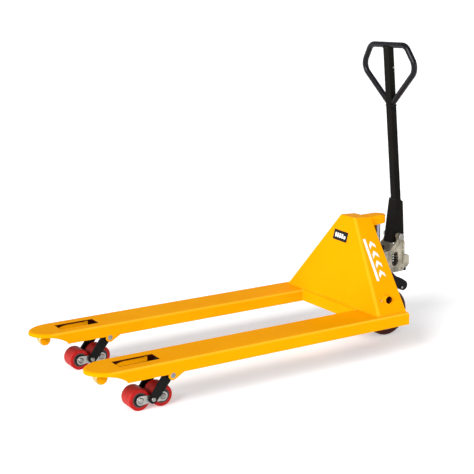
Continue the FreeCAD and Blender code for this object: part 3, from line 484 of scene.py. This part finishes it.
def piece(name, bm, material, body, smooth=True):
    """Turn a bmesh into a named piece that rides on a body."""
    mesh = bpy.data.meshes.new(name)
    bmesh.ops.recalc_face_normals(bm, faces=bm.faces)
    for face in bm.faces:
        face.smooth = smooth
    bm.to_mesh(mesh)
    bm.free()
    mesh.materials.append(material)
    obj = bpy.data.objects.new(name, mesh)
    bpy.context.scene.collection.objects.link(obj)
    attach(obj, body)
    return obj


def circle(centre, u, v, radius, count):
    """Points round a circle in the plane of u and v."""
    return [centre + u * radius * math.cos(a) + v * radius * math.sin(a)
            for a in (2 * math.pi * k / count for k in range(count))]


def sideways(axis):
    """A unit vector across an axis, level unless the axis stands upright."""
    side = axis.cross(Z_AXIS)
    if side.length < 0.1:
        side = axis.cross(Y_AXIS)
    return side.normalized()


def skin(bm, rings):
    """Join rings of vertices into a tube and close both its ends."""
    for a, b in zip(rings, rings[1:]):
        for k in range(len(a)):
            after = (k + 1) % len(a)
            bm.faces.new((a[k], a[after], b[after], b[k]))
    bm.faces.new(rings[0])
    bm.faces.new(list(reversed(rings[-1])))


def add_tube(bm, points, radius, sides=10, swell=0.0):
    """Tube along a polyline of row-frame points; swell makes it lumpy, like a bead of weld."""
    rings = []
    for i, p in enumerate(points):
        ahead = (points[min(i + 1, len(points) - 1)] - points[max(i - 1, 0)]).normalized()
        side = sideways(ahead)
        over = side.cross(ahead).normalized()
        lump = swell * math.sin(2 * math.pi * i / LUMP_POINTS) + 0.5 * swell * noise.noise(p * LUMP_GRAIN)
        rings.append([bm.verts.new(v) for v in circle(p, side, over, radius * (1 + lump), sides)])
    skin(bm, rings)


def line(a, b, step):
    """Points from a to b, about a step apart."""
    count = max(2, int((b - a).length / step) + 1)
    return [a.lerp(b, i / (count - 1)) for i in range(count)]


def weld(name, runs, radius, body="fork_frame", material=WELD_YELLOW):
    """Weld beads: each run is a list of corner points."""
    bm = bmesh.new()
    for run in runs:
        points = [run[0]]
        for a, b in zip(run, run[1:]):
            points += line(a, b, BEAD_SAMPLE)[1:]
        add_tube(bm, points, radius, BEAD_SIDES, BEAD_SWELL)
    piece(name, bm, material, body)


def add_lathe(bm, profile, centre, axis, turns=40):
    """Revolve (radius, along) pairs about an axis through centre."""
    side = sideways(axis)
    over = axis.cross(side)
    skin(bm, [[bm.verts.new(v) for v in circle(centre + axis * along, side, over, r, turns)]
              for r, along in profile])


def add_plate(bm, outline, thick, chamfer=0.0):
    """Thin plate: outline is row-frame points in one plane, thick a vector from its back to its front."""
    back = [bm.verts.new(p) for p in outline]
    middle = sum(outline, Vector()) / len(outline)
    front = []
    for p in outline:
        inward = middle - p
        inward = inward.normalized() * min(chamfer, inward.length * 0.4)
        front.append(bm.verts.new(p + thick + inward))
    count = len(outline)
    for k in range(count):
        bm.faces.new((back[k], back[(k + 1) % count], front[(k + 1) % count], front[k]))
    bm.faces.new(list(reversed(back)))
    bm.faces.new(front)


# ---------------------------------------------------------------- pump spring
def pump_spring():
    """A coil with closed ends, in place of the CAD's tube."""
    wire, turns, steps_per_turn = 0.0021, 9.5, 36
    low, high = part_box("pump_spring")
    centre = centre_of("pump_spring")
    coil_radius = (high.x - low.x) / 2 - wire
    steps = int(turns * steps_per_turn)
    points = []
    for i in range(steps + 1):
        t = i / steps
        # The end coils lie a little closer than the others.
        evened = min(1.0, 0.35 + 4 * min(t, 1 - t))
        lift = t + 0.02 * math.sin(2 * math.pi * t) * (1 - evened)
        z = low.z + wire + lift * (high.z - low.z - 2 * wire)
        a = 2 * math.pi * turns * t
        points.append(Vector((centre.x + coil_radius * math.cos(a), centre.y + coil_radius * math.sin(a), z)))
    bm = bmesh.new()
    add_tube(bm, points, wire)
    coil = piece("spring_coil", bm, SPRING, "pump")
    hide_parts("pump_spring")
    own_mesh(coil)


# ---------------------------------------------------------------- welds on the chassis
def chassis_welds():
    wall, foot = 137, Z_FOOT + 0.5
    weld("foot_welds", [[at(-X_FOOT, wall, foot), at(-X_FOOT, 0, foot), at(X_FOOT, 0, foot),
                         at(X_FOOT, wall, foot)]], radius=0.0030)
    cross_plate = ((-14, 131), (-14, 170), (-7, 175), (0, 176))
    weld("cross_plate_welds", [[at(s * 182.5, y, z) for y, z in cross_plate] for s in (-1, 1)],
         radius=0.0028)
    weld("lug_welds", [[at(s * x, -935, 129), at(s * x, -882, 129)] for s in (-1, 1) for x in (185.0, 340.0)],
         radius=0.0016)
    weld("cap_welds", [[at(s * 35, 150, 509), at(s * 35, 163, 508)] for s in (-1, 1)], radius=0.0028)


def bush_welds():
    """Bead where each shaft bush comes out through the sloping side plate."""
    ring, steps = 0.0172, 48
    c = centre_of("shaft_bushes")
    runs = []
    for s in (-1, 1):
        run = []
        for k in range(steps + 1):
            a = 2 * math.pi * k / steps
            y, z = c.y + ring * math.cos(a), c.z + ring * math.sin(a)
            run.append(Vector(((X_FOOT * MM - SLOPE_X * (z - Z_FOOT * MM)) * s, y, z)))
        runs.append(run)
    weld("bush_welds", runs, radius=0.0020)


def roller_cheeks():
    """Arched strips inside each fork, hanging from its sheet beside the slot over the load rollers."""
    off, thick = 0.0365, 0.003
    front, rear, sheet, steps = -1101, -963, 172, 24
    arch_start, arch_length, arch_foot, arch_height = -1097, 121, 155, 13
    climb, roundness = 2.4, 0.8
    top = [(front, sheet), (arch_start, sheet)]
    for k in range(steps + 1):
        t = k / steps
        rise = math.sin(min(1.0, t * climb) * math.pi / 2) ** roundness
        top.append((arch_start + arch_length * t, arch_foot + arch_height * rise))
    top += [(arch_start + arch_length, sheet), (rear, sheet)]
    outline = top + [(rear, 151), (-1094, 151), (front, 153)]
    bm = bmesh.new()
    for side in ("left", "right"):
        for edge in (-1, 1):
            x = centre_of("fork_" + side).x + edge * off
            add_plate(bm, [at(x / MM, y, z) for y, z in outline], Vector((edge * thick, 0, 0)))
    piece("roller_cheeks", bm, YELLOW, "fork_frame", False)


# ---------------------------------------------------------------- label and side mark
PRINT_THICK, LABEL_GAP, SIDE_GAP = 0.0003, 0.0004, 0.0002


def rounded_rect(centre, u, v, half_u, half_v, corner, steps=4):
    """Outline of a rectangle with round corners in the plane of u and v."""
    points = []
    for su, sv, start in ((1, 1, 0), (-1, 1, 90), (-1, -1, 180), (1, -1, 270)):
        for k in range(steps + 1):
            a = math.radians(start + 90 * k / steps)
            points.append(centre + u * (su * (half_u - corner) + corner * math.cos(a))
                          + v * (sv * (half_v - corner) + corner * math.sin(a)))
    return points


def label_marks():
    """Four tall bars and a short one on the black plate, with no lettering."""
    up = (at(0, Y_LEAN, Z_TOP) - at(0, 0, Z_FOOT)).normalized()
    normal = X_AXIS.cross(up)
    centre = centre_of("label_plate") + normal * LABEL_GAP
    turn, corner = math.radians(-2), 0.0025
    u = X_AXIS * math.cos(turn) + up * math.sin(turn)
    v = up * math.cos(turn) - X_AXIS * math.sin(turn)
    bars = [(along, 0, 0.0055, 0.0095) for along in (-0.030, -0.0155, -0.001, 0.0135)]
    bars.append((0.029, -0.003, 0.0065, 0.0065))
    bm = bmesh.new()
    for along, rise, half_u, half_v in bars:
        outline = rounded_rect(centre + u * along + v * rise, u, v, half_u, half_v, corner)
        add_plate(bm, outline, normal * PRINT_THICK)
    piece("label_marks", bm, LABEL_WHITE, "fork_frame", False)


def side_marks():
    """Plain white stripe beside four short chevrons on each side plate, as y and z in mm."""
    stripe = ((63, 292), (75, 292), (92, 440), (80, 440))
    chevron = ((0, 0), (15, 14), (30, 2), (30, 15), (15, 28), (1, 13))
    places = [(84 + k * 4, 300 + k * 34) for k in range(4)]
    up_in = Vector((-SLOPE_X, 0, 1)).normalized()
    for s, side in ((-1, "right"), (1, "left")):
        normal = Y_AXIS.cross(Vector((up_in.x * s, 0, up_in.z))) * s

        def on_plate(y, z):
            return at(s * (X_FOOT - SLOPE_X * (z - Z_FOOT)), y, z) + normal * SIDE_GAP

        bm = bmesh.new()
        add_plate(bm, [on_plate(y, z) for y, z in stripe], normal * PRINT_THICK)
        for y0, z0 in places:
            add_plate(bm, [on_plate(y0 + y, z0 + z) for y, z in chevron], normal * PRINT_THICK)
        piece("side_marks_" + side, bm, LABEL_WHITE, "fork_frame", False)


# ---------------------------------------------------------------- fasteners and small fittings
def pin_clips():
    """Snap rings on the load rollers' axles, and heads on the bogies' pins."""
    ring_off, ring_radius, ring_wire, ring_steps, ring_kept = 0.0436, 0.0108, 0.0009, 28, 26
    head_off, head_back = 0.0585, 0.0006
    head = [(0.0035, 0.0), (0.0074, 0.0), (0.0074, 0.0006), (0.0062, 0.0014), (0.0028, 0.0014),
            (0.0022, 0.0008)]
    for side in ("left", "right"):
        bogie = centre_of("bogie_plates_" + side)
        bm = bmesh.new()
        for edge in (-1, 1):
            for end in ("front", "rear"):
                axle = centre_of("load_hub_%s_%s" % (end, side))
                face = Vector((bogie.x + edge * ring_off, axle.y, axle.z))
                ring = circle(face, Y_AXIS, Z_AXIS, ring_radius, ring_steps)[:ring_kept]
                add_tube(bm, ring, ring_wire, 8)
        piece("axle_clips_" + side, bm, SPRING, "bogie_" + side)
        bm = bmesh.new()
        for edge in (-1, 1):
            face = Vector((bogie.x + edge * head_off, bogie.y, bogie.z))
            add_lathe(bm, [(r, (along - head_back) * edge) for r, along in head], face, X_AXIS, 32)
        piece("bogie_pin_heads_" + side, bm, PIN_STEEL, "arm_" + side)


def lug_pin_ends():
    """Domed, centre-punched ends of the arm pivots where they show in the lugs."""
    inner_end, sunk = 0.1825, 0.0006
    profile = [(0.0098, 0.0), (0.0094, 0.0004), (0.0072, 0.0005), (0.0064, 0.0001), (0.0022, 0.0001),
               (0.0012, -0.0004)]
    outer_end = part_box("arm_pivot_pins")[1].x
    pins = centre_of("arm_pivot_pins")
    bm = bmesh.new()
    for s in (-1, 1):
        for x, out in ((outer_end, 1), (inner_end, -1)):
            add_lathe(bm, profile, Vector((s * x - s * out * sunk, pins.y, pins.z)), s * out * X_AXIS, 36)
    piece("arm_pivot_ends", bm, PIN_STEEL, "fork_frame")


def cheek_ribs():
    """Raised ribs on each cheek of the pump's casting, along its edge and up to its boss, as y and z in mm."""
    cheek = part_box("pump_casting")[1].x
    rise, chamfer = 0.0024, 0.0008
    outlines = (((273, 353), (279, 346), (317, 384), (317, 397), (312, 397), (312, 390)),
                ((288, 338), (291, 334), (331, 374), (331, 392), (327, 392), (327, 377)),
                ((344, 285), (349, 285), (349, 386), (344, 392)))
    bm = bmesh.new()
    for s in (-1, 1):
        for outline in outlines:
            add_plate(bm, [at(s * cheek / MM, y, z) for y, z in outline], Vector((s * rise, 0, 0)), chamfer)
    piece("cheek_ribs", bm, PUMP_GREY, "pump", False)


def pump_screws():
    """Screw heads with a recess, given as place and radius in mm on each cheek."""
    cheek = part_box("pump_casting")[1].x
    head = [(1, 0.0), (1, 0.0012), (0.9, 0.0026), (0.55, 0.0036), (0.5, 0.0020), (0.1, 0.0018)]
    bm = bmesh.new()
    for s in (-1, 1):
        for y, z, r in ((306, 268, 6.5), (342, 268, 5.0), (271, 268, 4.5), (345, 360, 5.5)):
            add_lathe(bm, [(r * part * MM, along) for part, along in head], at(s * cheek / MM, y, z),
                      s * X_AXIS, 24)
    piece("pump_screws", bm, PIN_STEEL, "pump")


def valve_plugs():
    """Two hexagon valve plugs and a round one on the valve block, and a filler plug underneath."""
    block_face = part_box("valve_block")[1].y
    plug = [(1, 0), (1, 0.002), (0.9, 0.003), (0.5, 0.003), (0.45, 0.0012), (0.1, 0.0012)]
    bm = bmesh.new()
    for x, z, r, turns in ((-14, 292, 8, 6), (14, 292, 8, 6), (0, 306, 5, 24)):
        add_lathe(bm, [(r * part * MM, along) for part, along in plug], Vector((x * MM, block_face, z * MM)),
                  Y_AXIS, turns)
    filler = [(0.0065, 0.004), (0.0065, -0.006), (0.0055, -0.008), (0.002, -0.008)]
    add_lathe(bm, filler, at(30, 366, 262), Z_AXIS, 20)
    piece("valve_plugs", bm, CAST_BLACK, "pump", False)


def rod_wiper():
    """Lip of the seal round the piston rod."""
    lip = [(0.0155, 0), (0.0215, 0), (0.0215, 0.0016), (0.0185, 0.0030), (0.0156, 0.0034)]
    bm = bmesh.new()
    add_lathe(bm, lip, Vector((0, centre_of("gland_nut").y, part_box("gland_nut")[1].z)), Z_AXIS)
    piece("rod_wiper", bm, CAST_BLACK, "pump")


# ---------------------------------------------------------------- handle details
TILT = math.radians(4.5)
HANDLE_PIVOT = (327, 408)


def on_handle(x, y, z):
    """A point given in mm in the handle's upright frame, pivot at 0, as a row-frame point."""
    c, s = math.cos(TILT), math.sin(TILT)
    return at(x, HANDLE_PIVOT[0] + y * c - z * s, HANDLE_PIVOT[1] + y * s + z * c)


def handle_weld(name, runs, radius):
    """Black bead from runs of places on the handle."""
    weld(name, [[on_handle(*place) for place in run] for run in runs], radius, "handle", BLACK)


def handle_welds():
    arcs = [[(s * 20.3, 10 + 26 * k / 8, z + bulge * math.sin(math.pi * k / 8)) for k in range(9)]
            for z, bulge in ((577, -10), (552, 4)) for s in (-1, 1)]
    handle_weld("loop_welds", arcs, radius=0.0022)
    front, back, top = 9.6, 36.4, 790
    handle_weld("post_top_welds", [[(-19, front, top), (19, front, top)], [(-19, back, top), (-9, back, top)],
                                   [(9, back, top), (19, back, top)]], radius=0.0016)
    handle_weld("socket_welds", [[(-20, 9, 156), (20, 9, 156)], [(20.6, 10, 157), (20.6, 36, 147)],
                                 [(-20.6, 10, 157), (-20.6, 36, 147)]], radius=0.0022)


for build in (pump_spring, chassis_welds, bush_welds, roller_cheeks, label_marks, side_marks, pin_clips,
              lug_pin_ends, cheek_ribs, pump_screws, valve_plugs, rod_wiper, handle_welds):
    build()


# ---------------------------------------------------------------- stage, light and camera
FLOOR_HALF, FLOOR_DROP, FLOOR_GLOW = 30, 0.0005, 0.36
SKY_LOW, SKY_HIGH, SKY_STRENGTH = (1.0, 1.0, 1.0), (0.36, 0.36, 0.37), 1.1
SUN_POWER, SUN_ANGLE, SUN_DIRECTION = 2.9, 30, (-0.32, 0.80, -0.50)
FILL_POWER, FILL_SIZE, FILL_PLACE, FILL_AIM = 32, 1.6, (4.5, 1.2, 1.6), (0, 0.3, 0.4)
CAMERA_PLACE = (3.6362, -2.2051, 1.4284)
AZIMUTH, ELEVATION, ROLL = (math.radians(a) for a in (59.194, 12.409, -0.971))
LENS, SENSOR = 84.51, 36.0


def link(name, data):
    obj = bpy.data.objects.new(name, data)
    bpy.context.scene.collection.objects.link(obj)
    return obj


def facing(direction):
    """Rotation that points a lamp along a direction."""
    return direction.to_track_quat("-Z", "Y").to_euler()


def pale_floor():
    bm = bmesh.new()
    bmesh.ops.create_grid(bm, x_segments=1, y_segments=1, size=FLOOR_HALF)
    mesh = bpy.data.meshes.new("floor")
    bm.to_mesh(mesh)
    bm.free()
    floor = link("floor", mesh)
    floor.location = (0, 0, -FLOOR_DROP)
    s = Shader("pale_floor")
    colour = s.between(s.noise(2, 3), 0.3, 0.7, (0.90, 0.90, 0.90), (0.93, 0.93, 0.93))
    rough = s.spread(s.noise(8, 3), (0.75, 0.85))
    s.bsdf.inputs["Emission Color"].default_value = (1, 1, 1, 1)
    s.bsdf.inputs["Emission Strength"].default_value = FLOOR_GLOW
    mesh.materials.append(s.finish(colour, rough, bevel=0, spec=0.0))


def sky():
    """Soft grey overhead, white at the horizon and below."""
    world = bpy.data.worlds.new("studio")
    bpy.context.scene.world = world
    world.use_nodes = True
    tree = world.node_tree
    background = tree.nodes["Background"]
    coord = tree.nodes.new("ShaderNodeTexCoord")
    split = tree.nodes.new("ShaderNodeSeparateXYZ")
    ramp = tree.nodes.new("ShaderNodeValToRGB")
    for element, (position, colour) in zip(ramp.color_ramp.elements, ((0.0, SKY_LOW), (0.5, SKY_HIGH))):
        element.position = position
        element.color = (*colour, 1)
    tree.links.new(coord.outputs["Generated"], split.inputs[0])
    tree.links.new(split.outputs["Z"], ramp.inputs["Fac"])
    tree.links.new(ramp.outputs["Color"], background.inputs["Color"])
    background.inputs["Strength"].default_value = SKY_STRENGTH


def lights():
    sun = bpy.data.lights.new("key", "SUN")
    sun.energy = SUN_POWER
    sun.angle = math.radians(SUN_ANGLE)
    link("key", sun).rotation_euler = facing(Vector(SUN_DIRECTION))
    lamp = bpy.data.lights.new("side_fill", "AREA")
    lamp.shape = "RECTANGLE"
    lamp.size = lamp.size_y = FILL_SIZE
    lamp.energy = FILL_POWER
    fill = link("side_fill", lamp)
    fill.location = FILL_PLACE
    fill.rotation_euler = facing(Vector(FILL_AIM) - Vector(FILL_PLACE))


def camera():
    level = math.cos(ELEVATION)
    forward = Vector((-math.sin(AZIMUTH) * level, math.cos(AZIMUTH) * level, -math.sin(ELEVATION)))
    right = forward.cross(Z_AXIS).normalized()
    up = right.cross(forward)
    x = right * math.cos(ROLL) + up * math.sin(ROLL)
    y = up * math.cos(ROLL) - right * math.sin(ROLL)
    data = bpy.data.cameras.new("camera")
    data.lens = LENS
    data.sensor_width = SENSOR
    data.sensor_fit = "HORIZONTAL"
    data.clip_end = 100
    obj = link("camera", data)
    obj.matrix_world = Matrix.Translation(CAMERA_PLACE) @ Matrix((x, y, -forward)).transposed().to_4x4()
    bpy.context.scene.camera = obj


pale_floor()
sky()
lights()
camera()
bpy.context.scene.view_settings.view_transform = "Standard"
bpy.context.scene.view_settings.look = "None"
